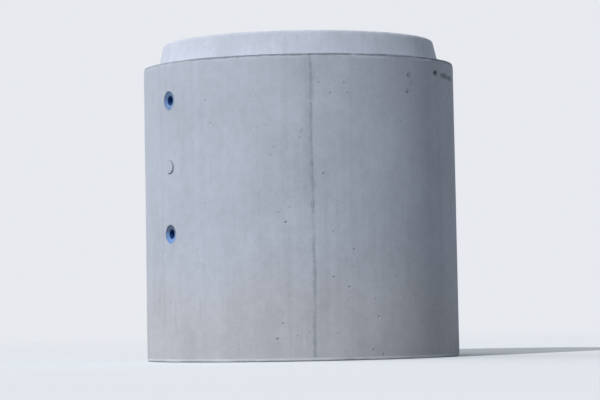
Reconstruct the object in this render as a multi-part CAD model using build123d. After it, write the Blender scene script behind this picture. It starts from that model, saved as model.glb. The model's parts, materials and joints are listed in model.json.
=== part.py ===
# Precast concrete ring for culverts and shafts: a drafted body with a tapered tongue on top,
# a matching groove under the bottom edge, and plastic lift sockets cast into the wall.
#
# Frame: millimetres, +Z up, origin at the centre of the bottom edge. The two halves of the form
# part on the plane X = 0. Angles around the ring count from -Y, the front, towards +X.

from build123d import *
import math
import os

# Body
bore_diameter = 1067.0          # clear inside diameter, 42 in
wall_thickness = 120.0          # at the bottom edge, where the ring is widest
body_height = 1220.0            # laying length, from the bottom edge to the shoulder, 48 in
form_draft = 3.0                # radius that the outside loses from the bottom edge to the shoulder
bottom_arris_radius = 7.0       # rounding of the outer bottom edge
shoulder_arris_radius = 4.0     # rounding of the outer edge at the shoulder
bore_arris_radius = 5.0         # rounding of the bore's edges

# Tongue, on top
tongue_height = 101.0           # above the shoulder
tongue_root_thickness = 56.0    # outside of the tongue to the bore, at the shoulder
tongue_tip_thickness = 32.0     # the same at the tip
tongue_tip_radius = 11.0        # rounding of the tip's outer edge

# Groove, under the bottom edge: the tongue of the ring below enters it
joint_side_clearance = 6.0      # room for the sealing strip, beside the tongue
joint_end_clearance = 5.0       # room above the tip, so that the shoulder carries the load
groove_arris_radius = 5.0       # rounding of the groove's mouth

# Ports: the form has columns of round ports, three high, and what is set in them marks the wall
port_diameter = 76.0            # of a socket's lip
port_drop = 158.0               # shoulder to the centre of the upper port
port_spacing = 271.5            # between the centres of the ports, down the column
socket_column_angle = -58.5     # column that holds the sockets, from the form's parting line
column_repeat_angle = 180.0     # each half of the form has the same column

# Lift sockets, in the upper and lower port of a column
socket_bore_diameter = 40.0     # takes the lifting pin
socket_depth = 95.0             # mouth to the blind end
socket_mouth_depth = 5.0        # depth of the flared mouth
socket_lip_width = 3.5          # flat lip around the flare
socket_shell = 3.0              # thickness of the plastic
socket_set_back = 1.0           # lip below the wall's face, at the sides of the port

# Raised disc, where a blank closes the middle port of a column
disc_diameter = 52.0
disc_stand_off = 4.0            # above the wall's face, on the column's line
disc_arris_radius = 1.5
disc_root = 20.0                # how far the disc's solid reaches into the wall

# Worked out from the sizes above
bore_radius = bore_diameter / 2
body_bottom_radius = bore_radius + wall_thickness
body_top_radius = body_bottom_radius - form_draft
tongue_root_outside = bore_radius + tongue_root_thickness
tongue_tip_outside = bore_radius + tongue_tip_thickness
groove_mouth_outside = tongue_root_outside + joint_side_clearance
groove_end_outside = tongue_tip_outside + joint_side_clearance
groove_depth = tongue_height + joint_end_clearance
tip_height = body_height + tongue_height
port_radius = port_diameter / 2
socket_bore_radius = socket_bore_diameter / 2
socket_flare_radius = port_radius - socket_lip_width

upper_port_height = body_height - port_drop
middle_port_height = upper_port_height - port_spacing
lower_port_height = middle_port_height - port_spacing

column_angles = {
    "left": socket_column_angle,
    "right": socket_column_angle + column_repeat_angle,
}
socket_heights = {
    "upper": upper_port_height,
    "lower": lower_port_height,
}


def outside_radius(height):
    """Radius of the drafted outside at a height."""
    return body_bottom_radius - form_draft * height / body_height


def chord_drop(height):
    """Depth of the wall's curve behind its face, across the width of a port."""
    radius = outside_radius(height)
    return radius - math.sqrt(radius**2 - port_radius**2)


def port_plane(angle, height, distance):
    """Plane that faces outwards at an angle around the ring, at a distance from its axis."""
    turn = math.radians(angle)
    outwards = Vector(math.sin(turn), -math.cos(turn), 0)
    sideways = Vector(math.cos(turn), math.sin(turn), 0)
    origin = outwards * distance + Vector(0, 0, height)
    return Plane(origin=origin, x_dir=sideways, z_dir=outwards)


def turned(points):
    """Solid of revolution about the local Z axis, from points given as radius and height."""
    outline = make_face(Polyline(*points, close=True))
    return revolve(Plane.XZ * outline, Axis.Z)


def corner(sketch, radius, height):
    """Corner of a section nearest to a radius and height."""
    return sketch.vertices().sort_by_distance((radius, height, 0))[0]


def make_ring_section():
    """Section of the ring, radius along X and height along Y, with its rounded edges."""
    rounded = (
        (body_bottom_radius, 0, bottom_arris_radius),
        (body_top_radius, body_height, shoulder_arris_radius),
        (tongue_tip_outside, tip_height, tongue_tip_radius),
        (bore_radius, tip_height, bore_arris_radius),
        (bore_radius, groove_depth, bore_arris_radius),
        (groove_mouth_outside, 0, groove_arris_radius),
    )
    section = make_face(
        Polyline(
            (groove_mouth_outside, 0),
            (body_bottom_radius, 0),
            (body_top_radius, body_height),
            (tongue_root_outside, body_height),
            (tongue_tip_outside, tip_height),
            (bore_radius, tip_height),
            (bore_radius, groove_depth),
            (groove_end_outside, groove_depth),
            close=True,
        )
    )
    for radius, height, rounding in rounded:
        section = fillet(corner(section, radius, height), rounding)
    return section


def lip_distance(height):
    """Distance of a socket's flat lip from the ring's axis."""
    return outside_radius(height) - chord_drop(height) - socket_set_back


def make_socket_envelope():
    """Outside of a lift socket: its mouth is at local Z = 0 and it reaches inwards, down -Z."""
    barrel_radius = socket_bore_radius + socket_shell
    return turned(
        (
            (0, 0),
            (port_radius, 0),
            (port_radius, -socket_shell),
            (barrel_radius, -socket_mouth_depth - socket_shell),
            (barrel_radius, -socket_depth - socket_shell),
            (0, -socket_depth - socket_shell),
        )
    )


def make_socket_hollow():
    """Room inside a lift socket: a flared mouth, then a plain bore to the blind end."""
    return turned(
        (
            (0, 0),
            (socket_flare_radius, 0),
            (socket_bore_radius, -socket_mouth_depth),
            (socket_bore_radius, -socket_depth),
            (0, -socket_depth),
        )
    )


def make_disc():
    """Raised disc with a rounded edge, from its root in the wall to its flat face at local Z = 0."""
    disc = Pos(0, 0, -disc_root) * extrude(Circle(disc_diameter / 2), disc_root)
    face_edge = disc.edges().sort_by(Axis.Z)[-1]
    return fillet(face_edge, disc_arris_radius)


def make_concrete_ring():
    """The casting, with pockets that fit the sockets and a raised disc between them."""
    ring = revolve(Plane.XZ * make_ring_section(), Axis.Z)
    envelope = make_socket_envelope()
    for angle in column_angles.values():
        for height in socket_heights.values():
            mouth = port_plane(angle, height, lip_distance(height))
            opening = extrude(Circle(port_radius), chord_drop(height) + socket_set_back + form_draft)
            ring -= mouth * (envelope + opening)
        face = outside_radius(middle_port_height) + disc_stand_off
        ring += port_plane(angle, middle_port_height, face) * make_disc()
    return ring


def make_lift_sockets():
    """Lift sockets by name, each where its pocket is."""
    socket = make_socket_envelope() - make_socket_hollow()
    sockets = {}
    for side, angle in column_angles.items():
        for level, height in socket_heights.items():
            name = f"lift_socket_{side}_{level}"
            sockets[name] = port_plane(angle, height, lip_distance(height)) * socket
    return sockets


def main():
    os.makedirs("parts", exist_ok=True)
    nodes = {"concrete_ring": make_concrete_ring()}
    nodes.update(make_lift_sockets())
    for name, shape in nodes.items():
        export_step(shape, f"parts/{name}.step")
        print(f"{name}: {shape.volume / 1e6:.3f} litres")


main()
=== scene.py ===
# Concrete culvert ring, dressed: the casting with its form seams, pores and worn edges,
# and the plastic lift sockets cast into it. Metres, +Z up; angles count from the front, -Y, towards +X.
import json
import bpy
import numpy as np
from mathutils import Matrix, Vector


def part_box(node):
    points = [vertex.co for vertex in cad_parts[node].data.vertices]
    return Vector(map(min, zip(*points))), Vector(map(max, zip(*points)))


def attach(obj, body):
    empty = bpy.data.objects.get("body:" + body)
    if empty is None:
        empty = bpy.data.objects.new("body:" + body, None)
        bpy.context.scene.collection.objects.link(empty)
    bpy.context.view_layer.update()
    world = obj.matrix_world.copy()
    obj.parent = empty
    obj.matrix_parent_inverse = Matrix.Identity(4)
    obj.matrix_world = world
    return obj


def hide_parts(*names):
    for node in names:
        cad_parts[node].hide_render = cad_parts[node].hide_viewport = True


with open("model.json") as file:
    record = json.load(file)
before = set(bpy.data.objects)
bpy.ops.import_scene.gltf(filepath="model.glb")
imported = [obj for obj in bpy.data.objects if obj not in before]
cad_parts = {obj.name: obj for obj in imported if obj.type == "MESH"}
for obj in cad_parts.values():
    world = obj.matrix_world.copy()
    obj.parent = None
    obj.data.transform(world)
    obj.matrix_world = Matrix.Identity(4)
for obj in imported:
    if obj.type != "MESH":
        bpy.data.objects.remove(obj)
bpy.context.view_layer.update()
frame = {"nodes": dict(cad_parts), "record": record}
mounts = {mount["name"]: mount for mount in frame["record"]["mounts"]}
socketNodes = sorted(name for name in frame["nodes"] if name.startswith("lift_socket"))
print("frame loaded,", len(frame["nodes"]), "solids")

# the casting's section and the fineness of its surface
ring = {
    "boreRadius": mounts["main_bore"]["dims"]["r_mm"] / 1000,
    "footRadius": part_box("concrete_ring")[1].y,             # outside, at the bottom edge
    "shoulderHeight": mounts["shoulder"]["pos_m"][2],
    "tipHeight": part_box("concrete_ring")[1].z,
    "draft": 0.003,             # radius lost from the bottom edge to the shoulder
    "footRounding": 0.007,
    "shoulderRounding": 0.004,
    "boreRounding": 0.005,
    "tongueRoot": 0.056,        # tongue's thickness from the bore, at the shoulder
    "tongueTip": 0.032,         # and at the tip
    "tipRounding": 0.011,
    "jointRoom": 0.006,         # the groove is this much wider than a tongue
    "grooveDepth": 0.106,
    "grooveRounding": 0.005,
    "footBand": 0.026,          # bands at the edges where the rows lie closer
    "shoulderBand": 0.024,
    "boreBand": 0.04,
    "sides": 960,               # around the edges; half as many on the wall, a quarter in the bore
    "waveDepth": 0.0011,        # how far the form's slow waves dip into the wall
    "gentleDepth": 0.0003,      # unevenness of every other face
    "edgeLoss": 0.0024,         # concrete missing along the worn edges
    "edgeReach": 0.006,
    "lipRecess": 0.0016,        # ragged recess that runs under the shoulder's edge
    "lipHeight": 0.009,
    "sharpAngle": 38,           # degrees between faces, past which an edge is shaded sharp
}
ring["topRadius"] = ring["footRadius"] - ring["draft"]
ring["rootRadius"] = ring["boreRadius"] + ring["tongueRoot"]
ring["crownRadius"] = ring["boreRadius"] + ring["tongueTip"]


def unit(vectors):
    return vectors / np.linalg.norm(vectors, axis=-1, keepdims=True)


def outward(angle):
    # level direction away from the ring's axis
    return np.stack([np.sin(angle), -np.cos(angle), np.zeros_like(angle)], axis=-1)


def sideways(angle):
    return np.stack([np.cos(angle), np.sin(angle), np.zeros_like(angle)], axis=-1)


def onRing(angle, radius, height):
    # points at an angle around the axis, a distance from it and a height
    points = outward(angle) * radius[..., None]
    points[..., 2] = height
    return points


def around(count):
    # angles of equal steps once around
    return np.arange(count) * 2 * np.pi / count


# unevenness of the casting: seed, longest and shortest wave, number of waves and fall
waves = {
    "form": (11, 1.6, 0.22, 26, 1.1),
    "gentle": (12, 0.5, 0.08, 24, 1.0),
    "worn": (13, 0.30, 0.014, 60, 0.55),
    "lip": (14, 0.35, 0.03, 40, 0.7),
}


def drawWaves(draw, longest, shortest, count, fall):
    # random lengths, and strengths as the length to the power fall, for a noise of about 1
    length = longest * (shortest / longest) ** draw.random(count)
    strength = length ** fall
    return length, strength / np.sqrt((strength ** 2).sum() / 2)


def wrapNoise(name, angle, height):
    # sum of plane waves wrapped round the ring: each has a whole number of turns around it and any
    # number up it, with a random heading and phase
    seed, longest, shortest, count, fall = waves[name]
    draw = np.random.default_rng(seed)
    length, strength = drawWaves(draw, longest, shortest, count, fall)
    heading = draw.random(count) * np.pi
    phase = draw.random(count) * 2 * np.pi
    turns = np.round(2 * np.pi * ring["footRadius"] * np.cos(heading) / length)
    climb = 2 * np.pi * np.sin(heading) / length
    total = np.zeros(np.broadcast(angle, height).shape)
    for share, turn, rise, start in zip(strength, turns, climb, phase):
        total += share * np.cos(turn * angle + rise * height + start)
    return total


def lineNoise(seed, along, longest, shortest, count=30, fall=0.7):
    # sum of sines along a column of places, with random phases
    draw = np.random.default_rng(seed)
    length, strength = drawWaves(draw, longest, shortest, count, fall)
    phase = draw.random(count) * 2 * np.pi
    return (np.cos(2 * np.pi * along / length + phase) * strength).sum(axis=1, keepdims=True)


def smooth(value, low, high):
    # 0 below low, 1 above high, an S curve between
    share = np.clip((value - low) / (high - low), 0, 1)
    return share * share * (3 - 2 * share)


def draftedRadius(height):
    # the outside without its unevenness
    return ring["footRadius"] - ring["draft"] * height / ring["shoulderHeight"]


def wallDip(angle, height):
    # depth of the form's slow waves below the drafted outside: a bounded noise, never outwards
    return ring["waveDepth"] * (0.5 + 0.5 * np.tanh(0.9 * wrapNoise("form", angle, height)))


def wallRadius(angle, height):
    return draftedRadius(height) - wallDip(angle, height)


def addObject(name, data):
    thing = bpy.data.objects.new(name, data)
    bpy.context.scene.collection.objects.link(thing)
    return thing


def buildMesh(name, points, faceBlocks):
    # puts an array of points and arrays of corner numbers, one array for each face size, into a mesh
    mesh = bpy.data.meshes.new(name)
    corners = np.concatenate([block.ravel() for block in faceBlocks])
    sizes = np.concatenate([np.full(len(block), block.shape[1]) for block in faceBlocks])
    mesh.vertices.add(len(points))
    mesh.vertices.foreach_set("co", np.ascontiguousarray(points, np.float32).ravel())
    mesh.loops.add(len(corners))
    mesh.loops.foreach_set("vertex_index", corners.astype(np.int32))
    mesh.polygons.add(len(sizes))
    mesh.polygons.foreach_set("loop_start", (np.cumsum(sizes) - sizes).astype(np.int32))
    mesh.update(calc_edges=True)
    return addObject(name, mesh)


def loopFaces(rows, columns, closedRows=False, first=0):
    # quads between neighbouring closed rows of points; the last row joins the first if closedRows
    index = first + np.arange(rows * columns).reshape(rows, columns)
    above = np.roll(index, -1, axis=0) if closedRows else index[1:]
    below = index if closedRows else index[:-1]
    quads = [below, np.roll(below, -1, axis=1), np.roll(above, -1, axis=1), above]
    return np.stack(quads, axis=-1).reshape(-1, 4)


def shellFaces(rows, sides):
    # faces of a closed shell: a pole, rows of points around it, and the other pole
    near = 1 + np.arange(sides)
    far = near + (rows - 1) * sides
    startFan = np.stack([np.zeros(sides, int), np.roll(near, -1), near], axis=-1)
    endFan = np.stack([np.full(sides, rows * sides + 1), far, np.roll(far, -1)], axis=-1)
    return [loopFaces(rows, sides, first=1), np.concatenate([startFan, endFan])]


def lathe(radius, height, sides):
    # turns a profile about the local Z axis: point = (radius cos t, radius sin t, height), with a
    # single point where the profile starts and ends on the axis; gives points and faces
    turn = around(sides)
    body = np.stack([np.outer(radius[1:-1], np.cos(turn)), np.outer(radius[1:-1], np.sin(turn)),
                     np.repeat(height[1:-1, None], sides, axis=1)], axis=-1).reshape(-1, 3)
    points = np.concatenate([[[0, 0, height[0]]], body, [[0, 0, height[-1]]]])
    return points, shellFaces(len(radius) - 2, sides)


def facingOut(points, angle, height, distance):
    # turns local points, with their axis along local Z, to face outwards at a place on the ring
    out, side, up = outward(angle), sideways(angle), np.array([0, 0, 1.0])
    across, along, away = points[..., :1], points[..., 1:2], points[..., 2:]
    return out * distance + up * height + across * side + along * up + away * out


def ringSection():
    # rows of the section, anticlockwise from the groove's mouth. Each corner gives radius, height,
    # rounding and points in its arc, then the spacing of the run after it, and the level of both:
    # 2 has all the sides around, 1 half and 0 a quarter
    low, high = ring["footBand"], ring["shoulderHeight"] - ring["shoulderBand"]
    corners = (
        (ring["rootRadius"] + ring["jointRoom"], 0, ring["grooveRounding"], 4, 0.013, 1),
        (ring["footRadius"], 0, ring["footRounding"], 6, 0.006, 2),
        (draftedRadius(low), low, 0, 1, 0.025, 1),
        (draftedRadius(high), high, 0, 1, 0.0035, 2),
        (ring["topRadius"], ring["shoulderHeight"], ring["shoulderRounding"], 4, 0.011, 2),
        (ring["rootRadius"], ring["shoulderHeight"], 0, 1, 0.009, 1),
        (ring["crownRadius"], ring["tipHeight"], ring["tipRounding"], 6, 0.006, 1),
        (ring["boreRadius"], ring["tipHeight"], ring["boreRounding"], 4, 0.03, 1),
        (ring["boreRadius"], ring["tipHeight"] - ring["boreBand"], 0, 1, 0.034, 0),
        (ring["boreRadius"], ring["grooveDepth"], ring["boreRounding"], 4, 0.02, 0),
        (ring["crownRadius"] + ring["jointRoom"], ring["grooveDepth"], 0, 1, 0.016, 0),
    )
    places = np.array([corner[:2] for corner in corners])
    rounding = np.array([corner[2] for corner in corners])
    forward = unit(np.roll(places, -1, axis=0) - places)
    back = -np.roll(forward, 1, axis=0)
    side = np.stack([forward[:, 1], -forward[:, 0]], axis=-1)
    half = np.arccos((back * forward).sum(axis=1)) / 2
    inset = (rounding / np.tan(half))[:, None]
    arcEnd = places + back * inset
    start, end = places + forward * inset, np.roll(arcEnd, -1, axis=0)
    rows = []
    for i, (_, _, bend, steps, spacing, level) in enumerate(corners):
        if bend:
            middle = places[i] + unit(back[i] + forward[i]) * bend / np.sin(half[i])
            first, last = arcEnd[i] - middle, start[i] - middle
            opening = np.arccos(first @ last / bend ** 2)
            share = np.linspace(0, 1, steps)[:, None]
            arc = (np.sin((1 - share) * opening) * first + np.sin(share * opening) * last) / np.sin(opening)
            rows.append(np.column_stack([middle + arc, arc / bend, np.full(steps, level)]))
        else:
            rows.append([[*places[i], *unit(side[i - 1] + side[i]), level]])
        count = max(int(np.linalg.norm(end[i] - start[i]) / spacing), 1)
        run = start[i] + (np.arange(1, count) / count)[:, None] * (end[i] - start[i])
        rows.append(np.column_stack([run, np.tile(side[i], (len(run), 1)), np.full(len(run), level)]))
    return np.concatenate(rows)


def ringFaces(counts):
    # joins rows that have the same number of points with quads, and rows that have half or twice as
    # many with three triangles for each step of the coarser row
    starts = np.concatenate([[0], np.cumsum(counts)])[:-1]
    quads = []
    triangles = []
    for row, count in enumerate(counts):
        other = (row + 1) % len(counts)
        lower = starts[row] + np.arange(count)
        upper = starts[other] + np.arange(counts[other])
        lowerNext, upperNext = np.roll(lower, -1), np.roll(upper, -1)
        if counts[other] == count:
            quads.append(np.stack([lower, lowerNext, upperNext, upper], axis=-1))
            continue
        both = [lower, lowerNext, upper, upperNext]
        finerAbove = counts[other] > count
        coarse, coarseNext, fine, fineNext = both if finerAbove else both[2:] + both[:2]
        middle = fine[1::2]
        for corners in ([coarse, coarseNext, middle], [coarse, middle, fine[::2]],
                        [coarseNext, fineNext[1::2], middle]):
            triangles.append(np.stack(corners if finerAbove else corners[::-1], axis=-1))
    return [np.concatenate(quads), np.concatenate(triangles)]


def wornSurface(angle, radius, height):
    # concrete missing from the plain section at a place: the form's slow waves on the outside, a
    # gentler unevenness elsewhere, ragged losses that die away from each edge, and the recess that
    # runs under the shoulder's edge with a wandering lower side
    outside = smooth(radius, ring["topRadius"] - 0.012, ring["topRadius"] - 0.002)
    gentle = ring["gentleDepth"] * (1 + np.tanh(wrapNoise("gentle", angle, height)))
    loss = outside * wallDip(angle, height) + (1 - outside) * gentle
    ragged = np.clip(0.35 + 0.55 * wrapNoise("worn", angle, height), 0, 1.6)
    edges = (
        (ring["topRadius"], ring["shoulderHeight"], 1.0),
        (ring["footRadius"], 0, 0.8),
        (ring["crownRadius"], ring["tipHeight"], 0.7),
        (ring["boreRadius"], ring["tipHeight"], 0.7),
        (ring["boreRadius"], ring["grooveDepth"], 0.8),
        (ring["rootRadius"] + ring["jointRoom"], 0, 1.0),
    )
    for edgeRadius, edgeHeight, share in edges:
        away = np.hypot(radius - edgeRadius, height - edgeHeight)
        loss = loss + share * ring["edgeLoss"] * ragged * np.exp(-(away / ring["edgeReach"]) ** 2)
    top = ring["shoulderHeight"]
    lower = top - ring["lipHeight"] * (1 + 0.35 * wrapNoise("lip", angle, 0))
    under = smooth(height, lower - 0.003, lower) * (1 - smooth(height, top - 0.003, top - 0.0005))
    return loss + outside * ring["lipRecess"] * under


def castRing():
    # the casting before its seams and pores: every row of the section goes once around, and each
    # point sinks along the section's normal by what is worn away there
    rows = ringSection()
    counts = (ring["sides"] // 2 ** (2 - rows[:, 4])).astype(int)
    angle = np.concatenate([around(count) for count in counts])
    radius, height, normalRadius, normalHeight = (np.repeat(rows[:, i], counts) for i in range(4))
    loss = wornSurface(angle, radius, height)
    points = onRing(angle, radius - loss * normalRadius, height - loss * normalHeight)
    return buildMesh("castRing", points, ringFaces(counts))


def carve(piece, tool, operation):
    # joins the tool to the piece or cuts it out, keeps the result as the piece's mesh and drops the tool
    step = piece.modifiers.new(operation, "BOOLEAN")
    step.operation = operation
    step.solver = "MANIFOLD"
    step.object = tool
    before = len(piece.data.vertices)
    bpy.context.view_layer.update()
    finished = piece.evaluated_get(bpy.context.evaluated_depsgraph_get())
    mesh = bpy.data.meshes.new_from_object(finished)
    piece.modifiers.clear()
    piece.data = mesh
    bpy.data.objects.remove(tool)
    print("  ", operation.lower(), before, "to", len(mesh.vertices), "points")


# what the form's parting lines leave on the wall
seam = {
    "angles": (0, 180),
    "bottom": 0.016,            # it ends above the pale strip at the foot
    "halfWidth": 0.0048,
    "stand": 0.0011,            # height of the ragged fin
    "sink": 0.0002,             # the ridge starts this far below the wall's face
    "root": 0.004,              # and the strip's two sides lie this far inside the wall
    "topRoom": 0.002,           # it ends this far below the shoulder
    "rows": 380,
    # bends along its height: sideways amount and length in metres, and start in turns
    "bends": ((0.0020, 1.0, 0.83), (0.0011, 0.37, 0.40), (0.0008, 0.149, 0.72), (0.0005, 0.053, 0.15)),
    "strands": ((0.885, 0.945), (1.030, 1.110)),    # heights between which a thin line runs beside it
    "parting": 0.0098,
    "fades": ((0.184, 0.240), (0.480, 0.576)),
    "knots": ((0.718, 0.732), (0.772, 0.786)),
}


def seamPath(height):
    # sum of sines up the wall, sideways from the plane X = 0
    return sum(amount * np.sin(2 * np.pi * (height / length + start))
               for amount, length, start in seam["bends"])


def seamFin(angle, seed):
    # strip along the wall: across it the height follows a low ragged ridge, along it the ridge
    # follows the seam's path; its underside lies inside the wall
    height = np.linspace(seam["bottom"], ring["shoulderHeight"] - seam["topRoom"], seam["rows"])[:, None]
    across = np.array([-1.0, -0.72, -0.3, 0.08, 0.42, 0.75, 1.0]) * seam["halfWidth"]
    share = np.array([0, 0.25, 0.7, 1.0, 0.5, 0.15, 0])
    middle = seamPath(height) * np.cos(np.radians(angle))
    crest = np.clip(0.45 + 0.5 * lineNoise(seed + 1, height, 0.25, 0.006, 50, 0.5), 0.05, 1.7)
    rough = [lineNoise(seed + 2 + i, height, 0.03, 0.006) for i in range(len(across))]
    stand = seam["stand"] * share * (crest + 0.25 * np.concatenate(rough, axis=1)) - seam["sink"]
    stand[:, [0, -1]] = -seam["root"]
    turn = np.radians(angle) + (middle + across) / ring["footRadius"]
    radius = np.minimum(wallRadius(turn, height) + stand, ring["footRadius"] - seam["sink"])
    points = onRing(turn, radius, height)
    rows, columns = points.shape[:2]
    caps = [np.arange(columns)[None, ::-1], (rows - 1) * columns + np.arange(columns)[None, :]]
    return buildMesh("seamFin", points.reshape(-1, 3), [loopFaces(rows, columns), *caps])


# what is set in the form's columns of ports
port = {
    "discRadius": 0.026,        # raised disc in the middle port
    "discStand": 0.004,
    "discRounding": 0.0036,
    "discRoot": 0.020,
    "rimRadius": 0.0264,        # grime around a disc
    "columns": (-58.5, 121.5),
    "plainColumns": (-117.0, 63.0),     # plugged flush, only a faint round line shows
    "plainRadius": 0.026,
    "heights": (1.062, 0.7905, 0.519),
    # round wires on the wall: room around the port, thickness, sink and lean
    "bead": (0.0022, 0.0011, -0.0003, 0),       # joined around each socket
    "gap": (0.0002, 0.0012, 0.0002, 0.6),       # cut around each disc
}


def portLine(angle, height, radius, wire, seed):
    # round wire on the wall, a torus bent to it: its middle runs round the port at the wall's face
    # plus sink, and its thickness varies along it, most towards the lower right by the lean
    room, thickness, sink, lean = wire
    turn, tube = around(72), around(8)
    uneven = 1 + 0.25 * np.cos(3 * turn + seed) + 0.15 * np.cos(7 * turn + 2 * seed)
    uneven = thickness * (uneven + lean * np.clip(np.cos(turn + np.radians(52)), 0, 1) ** 1.5)
    uneven = uneven[:, None]
    reach = radius + room + uneven - thickness + uneven * np.cos(tube)
    place = np.radians(angle) + reach * np.cos(turn)[:, None] / ring["topRadius"]
    level = height + reach * np.sin(turn)[:, None]
    points = onRing(place, wallRadius(place, level) + sink + uneven * np.sin(tube), level)
    return points.reshape(-1, 3), [loopFaces(len(turn), len(tube), closedRows=True)]


def joined(name, parts):
    # several closed shells, each its points and face arrays, in one mesh
    blocks = []
    start = 0
    for points, faces in parts:
        blocks += [block + start for block in faces]
        start += len(points)
    return buildMesh(name, np.concatenate([points for points, _ in parts]), blocks)


def discShape(angle, height):
    # raised disc with a rounded edge and a root inside the wall
    bend = np.linspace(0, np.pi / 2, 5)
    edge = port["discRounding"]
    rim = port["discRadius"]
    radius = np.concatenate([[0, 0.005, 0.012, 0.021], rim - edge + edge * np.sin(bend), [rim, 0]])
    level = np.concatenate([[-0.0004, -0.0004, -0.0002, 0], edge * (np.cos(bend) - 1),
                            [-port["discRoot"], -port["discRoot"]]])
    points, faces = lathe(radius[::-1], level[::-1], 64)
    return facingOut(points, np.radians(angle), height, draftedRadius(height) + port["discStand"]), faces


# the plastic lift sockets and the pockets that hold them
socket = {
    "lipRadius": 0.038,
    "boreRadius": mounts["lift_pin_left_upper"]["dims"]["r_mm"] / 1000,
    "depth": 0.095,
    "lipWidth": 0.0035,
    "shell": 0.003,
    "setBack": 0.001,
    "cutPast": 0.008,           # the pocket's cutter ends this far above the lip
    "lipRounding": 0.0009,
    "grooves": 6,               # shallow rings moulded in the bore
    "grooveDepth": 0.0006,
    "endRounding": 0.002,
    "padRadius": 0.011,         # low pad on the blind end
    "padHeight": 0.0015,
}
socket["mouthDepth"] = socket["depth"] - mounts["lift_pin_left_upper"]["dims"]["length_mm"] / 1000


def lipDistance(height):
    # the lip lies below the wall's face, by the curve across the port and the set-back
    return np.sqrt(draftedRadius(height) ** 2 - socket["lipRadius"] ** 2) - socket["setBack"]


def pocketShape(angle, height):
    # room for a socket, with a straight opening from its lip to past the wall's face
    barrel = socket["boreRadius"] + socket["shell"]
    end = socket["depth"] + socket["shell"]
    radius = np.array([0, barrel, barrel, socket["lipRadius"], socket["lipRadius"], 0])
    level = np.array([-end, -end, -socket["mouthDepth"] - socket["shell"], -socket["shell"],
                      socket["cutPast"], socket["cutPast"]])
    points, faces = lathe(radius, level, 72)
    return facingOut(points, np.radians(angle), height, lipDistance(height)), faces


def liftSocket(node):
    # one plastic socket: a rounded lip, a flared mouth and a ringed bore, turned about its axis
    middle = mounts["lift_pin_" + node[len("lift_socket_"):]]["pos_m"]
    angle = np.arctan2(middle[0], -middle[1])
    lip, bore, mouth, depth = (socket[key] for key in ("lipRadius", "boreRadius", "mouthDepth", "depth"))
    shell, fine, rounding = (socket[key] for key in ("shell", "lipRounding", "endRounding"))
    flare, barrel, end, pad = lip - socket["lipWidth"], bore + shell, depth + shell, socket["padRadius"]
    padLevel = socket["padHeight"] - depth
    bend = np.linspace(0, np.pi / 2, 4)
    down = np.linspace(0, 1, 9)[1:-1]
    along = np.linspace(mouth + 0.004, depth - 0.008, socket["grooves"] * 8 + 1)
    swing = np.sin(2 * np.pi * np.linspace(0, socket["grooves"], len(along)))
    rings = socket["grooveDepth"] * np.clip(swing, 0, 0.6)
    narrow = bore - 0.0004
    radius = np.concatenate([
        [0, barrel - rounding, barrel, barrel, lip, lip], lip - fine + fine * np.cos(bend),
        flare + fine * (1 - np.sin(bend)), flare + (bore - flare) * (down + 0.05 * np.sin(np.pi * down)),
        [bore, narrow], narrow + rings, [narrow, bore - rounding, pad, pad - 0.001, 0]])
    level = np.concatenate([
        [-end, -end, -end + rounding, -mouth - shell, -shell, -fine - 0.0005], fine * (np.sin(bend) - 1),
        fine * (np.cos(bend) - 1), -fine - (mouth - fine) * down,
        [-mouth, -mouth - 0.001], -along, [-depth + rounding, -depth, -depth, padLevel, padLevel]])
    points, faces = lathe(radius, level, 96)
    points = facingOut(points, angle, middle[2], lipDistance(middle[2]))
    return buildMesh(node.replace("lift_socket", "socket"), points, faces)


# pores in the concrete: angle in degrees, height and width in mm, then more at random
pores = {
    # the plainest ones on the front, read off to half a degree and a centimetre
    "front": (
        (-9.5, 550, 10), (-12, 590, 8), (7, 510, 8), (14.5, 440, 9), (7, 330, 9), (12.5, 290, 10),
        (23.5, 170, 10), (-11, 150, 9), (-13, 90, 11), (-6, 100, 7), (25, 20, 9), (21, 40, 9),
        (38.5, 1140, 12), (38, 1070, 9), (7, 1060, 9), (13, 1060, 8), (12, 1100, 8), (4, 740, 10),
        (-3.5, 910, 7), (3, 1100, 7),
    ),
    "small": 36,                # faint ones between them
    "smallAngles": (-50, 45),   # degrees
    "smallWidths": (0.0055, 0.0070),
    "behind": 70,               # more on the wall's other side
    "bore": 46,
    "tongue": 16,
    "widths": (0.0045, 0.011),
    "tongueWidths": (0.004, 0.008),
    "depths": {"wall": 0.38, "bore": 0.6, "tongue": 0.5, "knock": 0.75},    # for each width
    "behindAngles": (70, 290),
    "levels": (0.03, 1.18),     # from and to height on the outside, in metres
    "boreLevels": (0.14, 1.28),
    "tongueLevels": (1.235, 1.305),
    "portRoom": 0.052,          # free of pores around a port's middle
    "seamRoom": 0.014,          # and beside a seam
    "apart": 0.018,
    "apartInside": 0.02,
}


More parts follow.
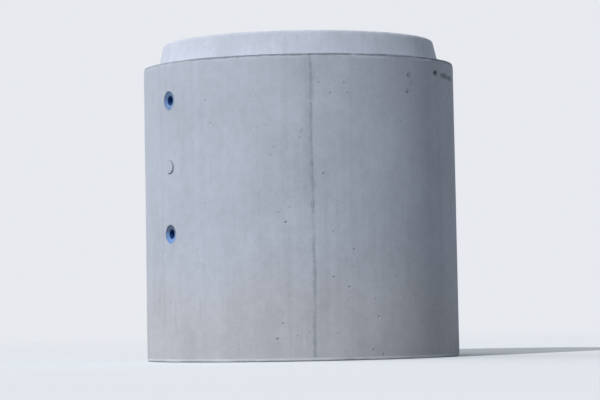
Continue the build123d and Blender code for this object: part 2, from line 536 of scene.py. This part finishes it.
def pitShapes(angles, heights, distances, widths, seed, deep, tall=1.15):
    # closed pebbles sunk into a surface, all at once: each is a ball squashed along the level
    # direction that points away from the axis, with slow swells around it for an uneven rim
    count = len(angles)
    turn = around(10)
    climb = np.linspace(0, np.pi, 7)[1:-1]
    two, three = np.random.default_rng(seed).random((2, count, 1)) * 6.28
    swell = 1 + 0.20 * np.cos(2 * turn + two) + 0.12 * np.cos(3 * turn + three)
    half = widths[:, None, None] / 2 * np.sin(climb)[:, None]
    across = half * (np.cos(turn) * swell)[:, None]
    upward = half * (np.sin(turn) * swell)[:, None] * np.reshape(tall, (-1, 1, 1))
    outwards = -widths[:, None, None] * deep * np.cos(climb)[:, None] * np.ones(len(turn))
    pole = np.zeros((count, 1, 3))
    pole[..., 2] = -widths[:, None] * deep
    local = np.stack([across, upward, outwards], axis=-1).reshape(count, -1, 3)
    local = np.concatenate([pole, local, -pole], axis=1)
    points = facingOut(local, angles[:, None], heights[:, None, None], distances[:, None, None])
    starts = (np.arange(count) * points.shape[1])[:, None, None]
    faces = shellFaces(len(climb), len(turn))
    return points.reshape(-1, 3), [(block + starts).reshape(-1, block.shape[1]) for block in faces]


def spreadOut(angles, heights, radius, gap):
    # keeps a place only where no earlier kept place lies nearer than the gap
    along = angles * radius
    kept = []
    for number in range(len(angles)):
        away = np.hypot(along[kept] - along[number], heights[kept] - heights[number])
        if (away > gap).all():
            kept.append(number)
    return kept


def randomWidths(draw, count):
    # mostly small ones
    low, high = pores["widths"]
    return low + (high - low) * draw.random(count) ** 2


def aroundFrom(angle, column):
    # distance around the wall from a column, which is in degrees
    return np.abs(np.angle(np.exp(1j * (angle - np.radians(column))))) * ring["footRadius"]


def wallPits(seed):
    # the pores on the outside: the plainest on the front, then random ones, kept apart and clear of
    # the ports and seams
    draw = np.random.default_rng(seed)
    angle, height, width = np.array(pores["front"], float).T
    behind, small, levels = pores["behind"], pores["small"], pores["levels"]
    groups = [
        (angle, height / 1000, width / 1000),
        (draw.uniform(*pores["behindAngles"], behind), draw.uniform(*levels, behind),
         randomWidths(draw, behind)),
        (draw.uniform(*pores["smallAngles"], small), draw.uniform(*levels, small),
         draw.uniform(*pores["smallWidths"], small)),
    ]
    angle, height, width = np.concatenate(groups, axis=1)
    angle = np.radians(angle)
    clear = np.ones(len(angle), bool)
    for column in seam["angles"]:
        clear &= aroundFrom(angle, column) > pores["seamRoom"]
    for column in (*port["columns"], *port["plainColumns"]):
        for level in port["heights"]:
            clear &= np.hypot(aroundFrom(angle, column), height - level) > pores["portRoom"]
    angle, height, width = angle[clear], height[clear], width[clear]
    kept = spreadOut(angle, height, ring["footRadius"], pores["apart"])
    angle, height, width = angle[kept], height[kept], width[kept]
    return pitShapes(angle, height, wallRadius(angle, height), width, seed, pores["depths"]["wall"])


def borePits(seed):
    draw = np.random.default_rng(seed)
    angle = draw.uniform(0, 2 * np.pi, pores["bore"])
    height = draw.uniform(*pores["boreLevels"], pores["bore"])
    kept = spreadOut(angle, height, ring["boreRadius"], pores["apartInside"])
    distance = np.full(len(kept), ring["boreRadius"] + ring["gentleDepth"])
    return pitShapes(angle[kept], height[kept], distance, randomWidths(draw, len(kept)), seed,
                     pores["depths"]["bore"])


def tonguePits(seed):
    draw = np.random.default_rng(seed)
    angle = np.sort(draw.uniform(0, 2 * np.pi, pores["tongue"]))
    height = draw.uniform(*pores["tongueLevels"], pores["tongue"])
    kept = spreadOut(angle, height, ring["rootRadius"], pores["apartInside"])
    angle, height = angle[kept], height[kept]
    distance = np.interp(height, [ring["shoulderHeight"], ring["tipHeight"]],
                         [ring["rootRadius"], ring["crownRadius"]])
    width = draw.uniform(*pores["tongueWidths"], len(kept))
    return pitShapes(angle, height, distance, width, seed, pores["depths"]["tongue"])


# knocks at the edges: angle in degrees, radius and height of the middle in mm, width in mm, and how
# tall each is for its width
knocks = (
    (15.8, 651.5, 1217, 13, 0.9), (-31, 652, 1221.5, 12, 0.7), (52, 652, 1220.5, 10, 0.7),
    (96, 651, 1219, 22, 0.6), (141, 651.5, 1220, 14, 0.7), (203, 651, 1220, 26, 0.5),
    (246, 651.5, 1219, 12, 0.8), (291, 652, 1221, 15, 0.7), (-44, 654.5, 2, 12, 0.7),
    (28, 654.5, 1, 14, 0.6), (88, 654, 2, 20, 0.6), (160, 654.5, 1, 16, 0.7), (222, 654, 3, 24, 0.6),
    (274, 654.5, 1, 12, 0.8), (72, 565, 1320.5, 12, 0.8), (188, 564, 1321, 16, 0.7),
    (318, 565, 1320, 10, 0.8),
)


def edgeKnocks(seed):
    angle, distance, height, width, tall = np.array(knocks, float).T
    return pitShapes(np.radians(angle), height / 1000, distance / 1000, width / 1000, seed,
                     pores["depths"]["knock"], tall)


def smoothShade(piece):
    piece.data.shade_smooth()
    piece.data.set_sharp_from_angle(angle=np.radians(ring["sharpAngle"]))


def finishCasting():
    # the casting with everything on it: seams, discs and the beads around the sockets joined, then
    # the pockets, the gaps around the discs, pores and knocks cut
    piece = castRing()
    for number, angle in enumerate(seam["angles"]):
        carve(piece, seamFin(angle, 40 + 20 * number), "UNION")
    middle = port["heights"][1]
    places = [(column, level) for column in port["columns"] for level in port["heights"]]
    steps = (
        ("discs", [discShape(column, middle) for column in port["columns"]], "UNION"),
        ("beads", [portLine(column, level, socket["lipRadius"], port["bead"], number)
                   for number, (column, level) in enumerate(places) if level != middle], "UNION"),
        ("pockets", [pocketShape(column, level) for column, level in places if level != middle],
         "DIFFERENCE"),
        ("gaps", [portLine(column, middle, port["discRadius"], port["gap"], 3) for column in port["columns"]],
         "DIFFERENCE"),
        ("pits", [wallPits(5), borePits(6), tonguePits(7)], "DIFFERENCE"),
        ("knocks", [edgeKnocks(8)], "DIFFERENCE"),
    )
    for name, parts, operation in steps:
        carve(piece, joined(name, parts), operation)
    smoothShade(piece)
    piece.data.calc_loop_triangles()
    print("casting:", len(piece.data.loop_triangles), "triangles")
    return piece


casting = finishCasting()
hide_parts("concrete_ring")
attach(casting, "root")

sockets = [liftSocket(node) for node in socketNodes]
for piece, node in zip(sockets, socketNodes):
    smoothShade(piece)
    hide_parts(node)
    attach(piece, "root")
print("sockets:", len(sockets))


# Materials. Every pattern reads Object coordinates in metres.
def addNode(tree, kind, values=None, **settings):
    # adds a node and fills its sockets, by name or number, each with a value or another's output
    node = tree.nodes.new("ShaderNode" + kind)
    for key, value in settings.items():
        setattr(node, key, value)
    for key, value in (values or {}).items():
        if isinstance(value, bpy.types.NodeSocket):
            tree.links.new(value, node.inputs[key])
        else:
            node.inputs[key].default_value = value
    return node


def maths(tree, operation, *values, clamp=False):
    return addNode(tree, "Math", dict(enumerate(values)), operation=operation, use_clamp=clamp).outputs[0]


def product(tree, first, *others):
    for value in others:
        first = maths(tree, "MULTIPLY", first, value)
    return first


def scaled(tree, value, factor, start):
    # value times factor plus start
    return maths(tree, "MULTIPLY_ADD", value, factor, start)


def vectorMaths(tree, operation, *values):
    node = addNode(tree, "VectorMath", dict(enumerate(values)), operation=operation)
    return node.outputs["Value" if operation == "LENGTH" else "Vector"]


def ramp(tree, value, low, high, fromValue=0.0, toValue=1.0):
    # smooth step of a value between low and high
    values = {"Value": value, "From Min": low, "From Max": high, "To Min": fromValue, "To Max": toValue}
    return addNode(tree, "MapRange", values, interpolation_type="SMOOTHSTEP").outputs["Result"]


def blend(tree, share, first, second, kind="MIX"):
    # mixes two colours
    return addNode(tree, "Mix", {0: share, 6: first, 7: second}, data_type="RGBA", blend_type=kind,
                   clamp_factor=True).outputs[2]


def coat(tree, colour, mask, share, tone):
    # lays a tone over a colour where the mask is, at a share of its strength
    return blend(tree, product(tree, mask, share), colour, tone)


def noiseNode(tree, vector, scale, detail=4.0, roughness=0.55):
    values = {"Vector": vector, "Scale": scale, "Detail": detail, "Roughness": roughness}
    return addNode(tree, "TexNoise", values).outputs["Fac"]


def heightMask(tree, height, low, high, soft):
    # 1 between two heights, with soft sides
    bottom, top = ramp(tree, height, low - soft, low + soft), ramp(tree, height, high + soft, high - soft)
    return product(tree, bottom, top)


def newGroup(name, inputs, outputs=("Mask",)):
    # node group that reads a Vector and other inputs, given with their defaults, and puts out numbers
    tree = bpy.data.node_groups.new(name, "ShaderNodeTree")
    for label, value in {"Vector": (0.0, 0.0, 0.0), **inputs}.items():
        kind = "NodeSocketVector" if isinstance(value, tuple) else "NodeSocketFloat"
        tree.interface.new_socket(label, in_out="INPUT", socket_type=kind).default_value = value
    for label in outputs:
        tree.interface.new_socket(label, in_out="OUTPUT", socket_type="NodeSocketFloat")
    return tree, tree.nodes.new("NodeGroupInput").outputs, tree.nodes.new("NodeGroupOutput").inputs


def useGroup(tree, group, place, values):
    return addNode(tree, "Group", {"Vector": place, **values}, node_tree=group).outputs


def grainGroup():
    # sand grain: a broad and a fine noise, mixed, as a tone about 0.5 and a height
    tree, given, result = newGroup("sandGrain", {"Broad": 60.0, "Fine": 700.0, "FineShare": 0.5},
                                   ("Tone", "Height"))
    broad = noiseNode(tree, given["Vector"], given["Broad"], 3.0, 0.6)
    fine = noiseNode(tree, given["Vector"], given["Fine"], 2.0, 0.6)
    tone = addNode(tree, "Mix", {0: given["FineShare"], 2: broad, 3: fine}).outputs[0]
    tree.links.new(tone, result["Tone"])
    tree.links.new(maths(tree, "POWER", tone, 1.4), result["Height"])
    return tree


def pinholeGroup():
    # pinholes: small round dark spots of uneven size, thinned out by a slow noise
    tree, given, result = newGroup("pinholes", {"Scale": 90.0, "Size": 0.22, "Thinning": 0.5})
    cell = addNode(tree, "TexVoronoi", {"Vector": given["Vector"], "Scale": given["Scale"]}).outputs
    chance = addNode(tree, "SeparateColor", {"Color": cell["Color"]}).outputs["Red"]
    chance = maths(tree, "ADD", chance, noiseNode(tree, given["Vector"], 5.0, 2.0))
    low, high = (maths(tree, "ADD", given["Thinning"], edge) for edge in (0.55, 0.75))
    keep = ramp(tree, chance, low, high)
    size = product(tree, given["Size"], keep)
    spot = ramp(tree, cell["Distance"], size, product(tree, size, 0.55))
    tree.links.new(product(tree, spot, maths(tree, "GREATER_THAN", keep, 0.05)), result["Mask"])
    return tree


def runGroup():
    # runs down a wall: a noise stretched along Z, its contrast raised
    tree, given, result = newGroup("runs", {"Across": 30.0, "Along": 1.0, "Low": 0.4, "High": 0.65})
    scale = addNode(tree, "CombineXYZ", {"X": given["Across"], "Y": given["Across"], "Z": given["Along"]})
    place = vectorMaths(tree, "MULTIPLY", given["Vector"], scale.outputs["Vector"])
    mask = ramp(tree, noiseNode(tree, place, 1.0, 3.0), given["Low"], given["High"])
    tree.links.new(mask, result["Mask"])
    return tree


def dustGroup():
    # cement dust: patches where a noise is high, more of it on faces that look up
    tree, given, result = newGroup("cementDust", {"Facing": 0.0, "Amount": 0.4, "Scale": 40.0})
    patch = noiseNode(tree, given["Vector"], given["Scale"], 5.0, 0.65)
    lying = ramp(tree, given["Facing"], 0.2, 0.9, 0.0, 0.25)
    level = maths(tree, "ADD", patch, lying)
    level = maths(tree, "ADD", level, maths(tree, "SUBTRACT", given["Amount"], 1.0))
    tree.links.new(ramp(tree, level, 0.0, 0.16), result["Mask"])
    return tree


def fromMiddle(tree, vector, middle, turn, scale):
    # distance from a middle, in the frame that a turn about Z brings to the front, each axis scaled
    away = vectorMaths(tree, "SUBTRACT", vector, middle)
    away = addNode(tree, "VectorRotate", {"Vector": away, "Angle": turn}, rotation_type="Z_AXIS")
    return vectorMaths(tree, "LENGTH", vectorMaths(tree, "MULTIPLY", away.outputs["Vector"], scale))


def stainGroup():
    # ragged oval stain: distance from its middle, in its half sizes, with a noise added
    tree, given, result = newGroup("stain", {"Middle": (0.0, 0.0, 0.0), "Turn": 0.0, "Ragged": 0.5,
                                             "Half": (0.01, 0.01, 0.01)})
    scale = vectorMaths(tree, "DIVIDE", (1.0, 1.0, 1.0), given["Half"])
    reach = fromMiddle(tree, given["Vector"], given["Middle"], given["Turn"], scale)
    patch = maths(tree, "SUBTRACT", noiseNode(tree, given["Vector"], 140.0, 4.0, 0.6), 0.5)
    tree.links.new(ramp(tree, scaled(tree, patch, given["Ragged"], reach), 1.15, 0.45), result["Mask"])
    return tree


def roundLineGroup():
    # round line on the wall: its distance from the middle, sqrt(x^2 + z^2), is Radius, give or take Half
    tree, given, result = newGroup("roundLine", {"Turn": 0.0, "Level": 0.8, "Radius": 0.03, "Half": 0.002})
    middle = addNode(tree, "CombineXYZ", {"Z": given["Level"]}).outputs["Vector"]
    reach = fromMiddle(tree, given["Vector"], middle, given["Turn"], (1.0, 0.0, 1.0))
    off = maths(tree, "ABSOLUTE", maths(tree, "SUBTRACT", reach, given["Radius"]))
    tree.links.new(ramp(tree, off, given["Half"], product(tree, given["Half"], 0.4)), result["Mask"])
    return tree


sandGrain, pinholes, runs, cementDust = grainGroup(), pinholeGroup(), runGroup(), dustGroup()
stain, roundLine = stainGroup(), roundLineGroup()

# tones of the concrete, and what changes them
finish = {
    "wall": (0.455, 0.490, 0.565, 1),
    "tongue": (0.530, 0.565, 0.650, 1),
    "warm": (0.470, 0.480, 0.520, 1),       # lower third of the wall
    "bore": (0.400, 0.425, 0.470, 1),
    "pale": (0.580, 0.610, 0.670, 1),       # dust
    "footStripTone": (0.660, 0.685, 0.730, 1),       # pale strip along the foot
    "grimeAndShade": (0.150, 0.165, 0.195, 1),      # dark tone: grime in pores and around ports, and grime with painted shade under the shoulder's edge
    "stain": (0.050, 0.062, 0.078, 1),
    # the seam's line: staining and painted shade
    "seamStainAndShade": (0.300, 0.328, 0.382, 1),
    "roughness": 0.86,
    "specular": 0.3,
    # runs down the wall, each with its change of the tone and the tone without it
    "runs": (
        ({"Across": 34.0, "Along": 0.9, "Low": 0.50, "High": 0.72}, -0.055, 1.0),
        ({"Across": 62.0, "Along": 1.8, "Low": 0.55, "High": 0.75}, 0.04, 1.0),
        ({"Across": 9.0, "Along": 0.55, "Low": 0.30, "High": 0.70}, 0.06, 0.97),
    ),
    "besideSeam": (-0.27, -0.075, 0.05, 0.05),      # paler strip: from and to along X, softness, change
    "grain": {"Broad": 90.0, "Fine": 620.0, "FineShare": 0.45},
    "pinholes": {"Scale": 75.0, "Size": 0.20, "Thinning": 0.55},
    "dust": {"Amount": 0.36, "Scale": 22.0},
    "seamHalf": (0.0040, 0.0078),           # half width of the seam's line, from thin to thick
    "rim": (0.0034, 0.42),                  # line around a disc: half width, share of grime
    "plug": (0.0022, 0.36),                 # and around a plugged port
    "pitShare": 0.30,
    "footStripShare": 0.9,
    "dustShare": 0.45,
    # stains on the wall: angle in degrees, height, half width and half height in mm, strength
    "stains": (
        (55, 1160, 20, 13, 0.95), (63, 1155, 55, 14, 0.6), (70, 1150, 45, 13, 0.6),
        (39, 1140, 10, 18, 0.3), (40, 1110, 9, 12, 0.15), (38, 1075, 13, 12, 0.28),
        (-43, 215, 8, 65, 0.09), (-56, 185, 9, 85, 0.09), (-67, 285, 13, 70, 0.08),
    ),
    "stainRagged": 1.5,
    # relief below what the mesh holds, in millimetres
    "relief": {"grain": 0.20, "mottle": 0.35, "holes": -0.8, "run": 0.08, "plugs": -0.5},
}


def newMaterial(name):
    material = bpy.data.materials.new(name)
    material.use_nodes = True
    material.node_tree.nodes.clear()
    return material, material.node_tree


def finishMaterial(tree, colour, rough, height, specular):
    # the shader and its output, with a bump from heights in millimetres
    bump = addNode(tree, "Bump", {"Height": height, "Strength": 0.8, "Distance": 0.001}).outputs["Normal"]
    shader = addNode(tree, "BsdfPrincipled", {"Base Color": colour, "Roughness": rough, "Normal": bump,
                                              "Specular IOR Level": specular})
    addNode(tree, "OutputMaterial", {"Surface": shader.outputs[0]})


def ringPlaces(tree):
    # place, x, z, how much the face looks up, distance from the axis, depth below the drafted outside
    place = addNode(tree, "TexCoord").outputs["Object"]
    x, y, z = addNode(tree, "SeparateXYZ", {"Vector": place}).outputs
    normal = addNode(tree, "NewGeometry").outputs["Normal"]
    facing = addNode(tree, "SeparateXYZ", {"Vector": normal}).outputs["Z"]
    radius = maths(tree, "SQRT", maths(tree, "ADD", product(tree, x, x), product(tree, y, y)))
    face = scaled(tree, z, -ring["draft"] / ring["shoulderHeight"], ring["footRadius"])
    return place, x, z, facing, radius, maths(tree, "SUBTRACT", face, radius)


def seamMask(tree, place, x, z):
    # a dark line on the fin's path, partly staining and partly painted shade, with strands beside it, that
    # fades here and there
    beside = scaled(tree, noiseNode(tree, place, 55.0, 4.0, 0.65), 0.008, -0.004)
    beside = maths(tree, "ADD", beside, x)
    for amount, length, start in seam["bends"]:
        bend = maths(tree, "SINE", scaled(tree, z, 2 * np.pi / length, 2 * np.pi * start))
        beside = maths(tree, "SUBTRACT", beside, product(tree, bend, amount))
    strands, fades, knots = (
        maths(tree, "MAXIMUM", *(heightMask(tree, z, low, high, soft) for low, high in seam[part]))
        for part, soft in (("strands", 0.016), ("fades", 0.03), ("knots", 0.008)))
    thick = addNode(tree, "TexNoise", {"W": z, "Scale": 22.0, "Detail": 5.0, "Roughness": 0.7},
                    noise_dimensions="1D").outputs["Fac"]
    half = ramp(tree, thick, 0.3, 0.72, *finish["seamHalf"])
    line = ramp(tree, maths(tree, "ABSOLUTE", beside), maths(tree, "ADD", half, 0.0036),
                maths(tree, "SUBTRACT", half, 0.0030))
    strand = maths(tree, "ABSOLUTE", maths(tree, "SUBTRACT", beside, seam["parting"]))
    strand = product(tree, ramp(tree, strand, 0.0034, 0.0010), product(tree, strands, 0.6))
    line = maths(tree, "MAXIMUM", line, strand)
    strength = maths(tree, "ADD", scaled(tree, fades, -0.42, 0.62), product(tree, knots, 0.35))
    strength = product(tree, strength, ramp(tree, thick, 0.25, 0.6, 0.6, 1.15),
                       ramp(tree, z, seam["bottom"] - 0.003, seam["bottom"] + 0.004))
    return maths(tree, "MULTIPLY", line, strength, clamp=True)


def lipGrimeAndShadeMask(tree, place, x, z, depth):
    # a ragged dark line under the shoulder's edge: grime, with painted shade that is stronger towards +X,
    # away from the key light
    shoulder = ring["shoulderHeight"]
    top = scaled(tree, noiseNode(tree, place, 38.0, 5.0, 0.7), 0.016, shoulder - 0.0175)
    return product(tree, ramp(tree, maths(tree, "SUBTRACT", z, top), -0.0015, 0.0015),
                   ramp(tree, z, shoulder + 0.0002, shoulder - 0.0012), ramp(tree, depth, 0.012, 0.006),
                   ramp(tree, x, -0.62, -0.35, 0.25, 0.62))


def roundLines(tree, place, column, heights, radius, half):
    # round lines at some heights of a column and of the one opposite
    mask = 0.0
    for level in heights:
        values = {"Turn": -np.radians(column), "Level": level, "Radius": radius, "Half": half}
        mask = maths(tree, "MAXIMUM", useGroup(tree, roundLine, place, values)["Mask"], mask)
    return mask


def concreteMaterial():
    material, tree = newMaterial("concrete")
    place, x, z, facing, radius, depth = ringPlaces(tree)
    shoulder, bore = ring["shoulderHeight"], ring["boreRadius"]
    onWall = product(tree, ramp(tree, depth, 0.020, 0.012), ramp(tree, z, shoulder + 0.001, shoulder))
    onTongue = product(tree, ramp(tree, z, shoulder - 0.001, shoulder + 0.001),
                       ramp(tree, radius, bore + 0.002, bore + 0.005))
    inBore = ramp(tree, radius, bore + 0.005, bore + 0.002)

    # broad tones: the wall's clouds, its warmer foot, the paler tongue and the duller bore
    cloud = noiseNode(tree, place, 3.2, 4.0, 0.5)
    mottle = noiseNode(tree, place, 26.0, 5.0, 0.62)
    foot = ramp(tree, maths(tree, "ADD", z, product(tree, cloud, 0.35)), 0.75, 0.30)
    colour = blend(tree, foot, finish["wall"], finish["warm"])
    colour = blend(tree, onTongue, colour, finish["tongue"])
    colour = blend(tree, inBore, colour, finish["bore"])
    tone = product(tree, ramp(tree, cloud, 0.3, 0.7, 0.94, 1.05), ramp(tree, mottle, 0.3, 0.7, 0.965, 1.035))

    # runs down the wall, the strip beside the seam, and grain
    runMasks = [useGroup(tree, runs, place, values)["Mask"] for values, _, _ in finish["runs"]]
    for mask, (_, change, start) in zip(runMasks, finish["runs"]):
        tone = product(tree, tone, scaled(tree, mask, change, start))
    left, right, soft, change = finish["besideSeam"]
    tone = product(tree, tone, scaled(tree, heightMask(tree, x, left, right, soft), change, 1.0))
    grain = useGroup(tree, sandGrain, place, finish["grain"])
    tone = product(tree, tone, ramp(tree, grain["Tone"], 0.3, 0.7, 0.955, 1.045))
    shade = addNode(tree, "CombineColor", {"Red": tone, "Green": tone, "Blue": tone}).outputs["Color"]
    colour = blend(tree, 1.0, colour, shade, "MULTIPLY")

    # the seam's line, partly painted shade; grime with painted shade under the shoulder's edge; grime in the
    # pores; and stains
    # the seam's dark line: staining with painted shade
    colour = blend(tree, product(tree, seamMask(tree, place, x, z), onWall), colour, finish["seamStainAndShade"])
    # painted shade with grime under the shoulder's edge, stronger away from the key light
    colour = blend(tree, lipGrimeAndShadeMask(tree, place, x, z, depth), colour, finish["grimeAndShade"])
    pits = product(tree, ramp(tree, depth, 0.0020, 0.0045), onWall)
    colour = coat(tree, colour, pits, finish["pitShare"], finish["grimeAndShade"])
    for angle, level, across, tall, strength in finish["stains"]:
        turn = np.radians(angle)
        middle = onRing(turn, wallRadius(turn, level / 1000), level / 1000)
        values = {"Middle": tuple(middle), "Turn": -turn, "Ragged": finish["stainRagged"],
                  "Half": (across / 1000, 0.03, tall / 1000)}
        colour = coat(tree, colour, useGroup(tree, stain, place, values)["Mask"], strength, finish["stain"])

    # lines around the discs and the plugged ports, and pinholes
    half, share = finish["rim"]
    rims = roundLines(tree, place, port["columns"][0], port["heights"][1:2], port["rimRadius"], half)
    colour = coat(tree, colour, product(tree, rims, onWall), share, finish["grimeAndShade"])
    half, share = finish["plug"]
    plugs = roundLines(tree, place, port["plainColumns"][0], port["heights"], port["plainRadius"], half)
    broken = ramp(tree, noiseNode(tree, place, 60.0, 3.0), 0.3, 0.6, 0.35, 1.0)
    plugs = product(tree, plugs, broken, onWall)
    colour = coat(tree, colour, plugs, share, finish["grimeAndShade"])
    holes = useGroup(tree, pinholes, place, finish["pinholes"])["Mask"]
    colour = coat(tree, colour, holes, finish["pitShare"], finish["grimeAndShade"])

    # a pale strip along the foot, and dust on what looks up
    strip = product(tree, ramp(tree, z, 0.015, 0.011), ramp(tree, depth, 0.02, 0.01))
    colour = coat(tree, colour, strip, finish["footStripShare"], finish["footStripTone"])
    dust = useGroup(tree, cementDust, place, {"Facing": facing, **finish["dust"]})["Mask"]
    colour = coat(tree, colour, dust, finish["dustShare"], finish["pale"])

    rough = ramp(tree, mottle, 0.3, 0.7, finish["roughness"] - 0.06, finish["roughness"] + 0.05)
    rough = maths(tree, "ADD", rough, product(tree, dust, 0.04), clamp=True)
    parts = {"grain": grain["Height"], "mottle": mottle, "holes": holes, "run": runMasks[1], "plugs": plugs}
    height = 0.0
    for part, amount in finish["relief"].items():
        height = scaled(tree, parts[part], amount, height)
    finishMaterial(tree, colour, rough, height, finish["specular"])
    return material


# the sockets' plastic
plastic = {
    "deep": (0.020, 0.080, 0.270, 1),
    "faded": (0.080, 0.160, 0.350, 1),
    "worn": (0.125, 0.225, 0.440, 1),
    # painted sunlight on the lower part of the lower sockets' mouths
    "paintedSunlight": (0.100, 0.240, 0.560, 1),
    # painted shadow of the lip, with some dirt, in the upper half of each mouth
    "mouthShadowAndDirt": (0.040, 0.062, 0.085, 1),
    "mouthShadowShares": (0.30, 0.72),             # upper and lower sockets
    "roughness": 0.46,
    "specular": 0.5,
    "grain": {"Broad": 240.0, "Fine": 1500.0, "FineShare": 0.4},
    "dust": {"Amount": 0.32, "Scale": 90.0},
    "dustShare": 0.55,
}


def plasticMaterial():
    material, tree = newMaterial("socketPlastic")
    place, _, z, facing, _, depth = ringPlaces(tree)
    mouthEnd = ring["footRadius"] - lipDistance(0.0) + socket["mouthDepth"]
    atMouth = ramp(tree, depth, mouthEnd + 0.0014, mouthEnd + 0.0002)
    fade = ramp(tree, noiseNode(tree, place, 45.0, 4.0, 0.6), 0.35, 0.65)
    colour = blend(tree, fade, plastic["faded"], plastic["worn"])

    # painted shadow of the lip, with some dirt, in the upper half of a mouth, most in the lower sockets;
    # painted sunlight on the lower part of the lower sockets' mouths
    upper, middle, lower = port["heights"]
    upperShare, lowerShare = plastic["mouthShadowShares"]
    isLower = maths(tree, "LESS_THAN", z, middle)
    above = maths(tree, "SUBTRACT", z, scaled(tree, isLower, lower - upper, upper))
    mouthShadowAndDirt = scaled(tree, isLower, lowerShare - upperShare, upperShare)
    colour = coat(tree, colour, ramp(tree, above, -0.006, 0.020), mouthShadowAndDirt, plastic["mouthShadowAndDirt"])
    # painted sunlight on the lower part of a lower socket's mouth
    colour = coat(tree, colour, ramp(tree, above, -0.007, -0.024), isLower, plastic["paintedSunlight"])
    colour = blend(tree, atMouth, plastic["deep"], colour)

    grain = useGroup(tree, sandGrain, place, plastic["grain"])
    dust = useGroup(tree, cementDust, place, {"Facing": facing, **plastic["dust"]})["Mask"]
    dust = product(tree, dust, atMouth)
    colour = coat(tree, colour, dust, plastic["dustShare"], finish["pale"])
    rough = ramp(tree, grain["Tone"], 0.3, 0.7, plastic["roughness"] - 0.05, plastic["roughness"] + 0.07)
    rough = maths(tree, "ADD", rough, product(tree, dust, 0.4), clamp=True)
    height = scaled(tree, dust, 0.12, product(tree, grain["Height"], 0.03))
    finishMaterial(tree, colour, rough, height, plastic["specular"])
    return material


casting.data.materials.clear()
casting.data.materials.append(concreteMaterial())
socketFinish = plasticMaterial()
for piece in sockets:
    piece.data.materials.append(socketFinish)
print("materials:", len(bpy.data.materials))


# studio: floor, light and camera
studio = {
    "backdrop": (0.80, 0.82, 0.86, 1),
    "floor": (0.78, 0.80, 0.83, 1),
    "floorBounce": (0.34, 0.35, 0.37, 1),   # the floor as the object's light sees it
    "floorRings": (2.0, 6.0, 20.0, 90.0),
    "fade": (3.0, 12.0),        # between these the floor turns into the backdrop
    "ambient": (0.80, 0.90, 1.0, 1),
    "ambientStrength": 0.25,
    # lamps: angle around the ring and height above the floor in degrees, strength, spread
    "lamps": {"key": (-41, 40, 2.35, 1.5), "fill": (-118, 20, 1.15, 70), "sky": (0, 90, 0.45, 50)},
    "eye": (-0.7653, -10.5788, 0.1949),
    "target": (-0.0032, 0.0002, 0.6654),
    "roll": -1.026,             # degrees
    "lens": 151.44,             # mm, on a sensor 36 mm wide
}


def seenShare(tree):
    # 1 for rays from the camera, a mirror or glass
    rays = addNode(tree, "LightPath").outputs
    share = maths(tree, "MAXIMUM", rays["Is Camera Ray"], rays["Is Glossy Ray"])
    return maths(tree, "MAXIMUM", share, rays["Is Transmission Ray"])


def makeFloor():
    # rings of quads around a middle face
    turn = around(128)
    reach = np.array(studio["floorRings"])
    points = np.stack([np.outer(reach, np.cos(turn)), np.outer(reach, np.sin(turn)),
                       np.zeros((len(reach), len(turn)))], axis=-1)
    middle = np.arange(len(turn))[None, :]
    floor = buildMesh("floor", points.reshape(-1, 3), [loopFaces(len(reach), len(turn))[:, ::-1], middle])
    material, tree = newMaterial("floor")
    seen = seenShare(tree)
    colour = blend(tree, seen, studio["floorBounce"], studio["floor"])
    shader = addNode(tree, "BsdfPrincipled", {"Base Color": colour, "Roughness": 0.9,
                                              "Specular IOR Level": 0.1})
    away = vectorMaths(tree, "LENGTH", addNode(tree, "TexCoord").outputs["Object"])
    far = product(tree, ramp(tree, away, *studio["fade"]), seen)
    glow = addNode(tree, "Emission", {"Color": studio["backdrop"], "Strength": 1.0})
    mixed = addNode(tree, "MixShader", {0: far, 1: shader.outputs[0], 2: glow.outputs[0]})
    back = addNode(tree, "NewGeometry").outputs["Backfacing"]
    clear = addNode(tree, "BsdfTransparent")
    last = addNode(tree, "MixShader", {0: back, 1: mixed.outputs[0], 2: clear.outputs[0]})
    addNode(tree, "OutputMaterial", {"Surface": last.outputs[0]})
    floor.data.materials.append(material)


def makeWorld():
    world = bpy.data.worlds.new("studio")
    world.use_nodes = True
    bpy.context.scene.world = world
    tree = world.node_tree
    tree.nodes.clear()
    light = addNode(tree, "Background", {"Color": studio["ambient"], "Strength": studio["ambientStrength"]})
    shown = addNode(tree, "Background", {"Color": studio["backdrop"], "Strength": 1.0})
    mixed = addNode(tree, "MixShader", {0: seenShare(tree), 1: light.outputs[0], 2: shown.outputs[0]})
    addNode(tree, "OutputWorld", {"Surface": mixed.outputs[0]})


def makeSun(name, angle, height, strength, spread):
    lamp = bpy.data.lights.new(name, "SUN")
    lamp.energy = strength
    lamp.angle = np.radians(spread)
    thing = addObject(name, lamp)
    turn, climb = np.radians(angle), np.radians(height)
    source = Vector((np.sin(turn) * np.cos(climb), -np.cos(turn) * np.cos(climb), np.sin(climb)))
    thing.rotation_euler = source.to_track_quat("Z", "Y").to_euler()
    thing.location = source * 8


def makeCamera():
    data = bpy.data.cameras.new("view")
    data.lens = studio["lens"]
    data.sensor_width = 36
    data.clip_end = 300
    camera = addObject("view", data)
    eye, target = Vector(studio["eye"]), Vector(studio["target"])
    aim = (target - eye).to_track_quat("-Z", "Y").to_matrix().to_4x4()
    roll = Matrix.Rotation(np.radians(studio["roll"]), 4, "Z")
    camera.matrix_world = Matrix.Translation(eye) @ aim @ roll
    bpy.context.scene.camera = camera


makeFloor()
makeWorld()
for name, values in studio["lamps"].items():
    makeSun(name, *values)
makeCamera()
bpy.context.scene.view_settings.view_transform = "Standard"
print("studio ready")
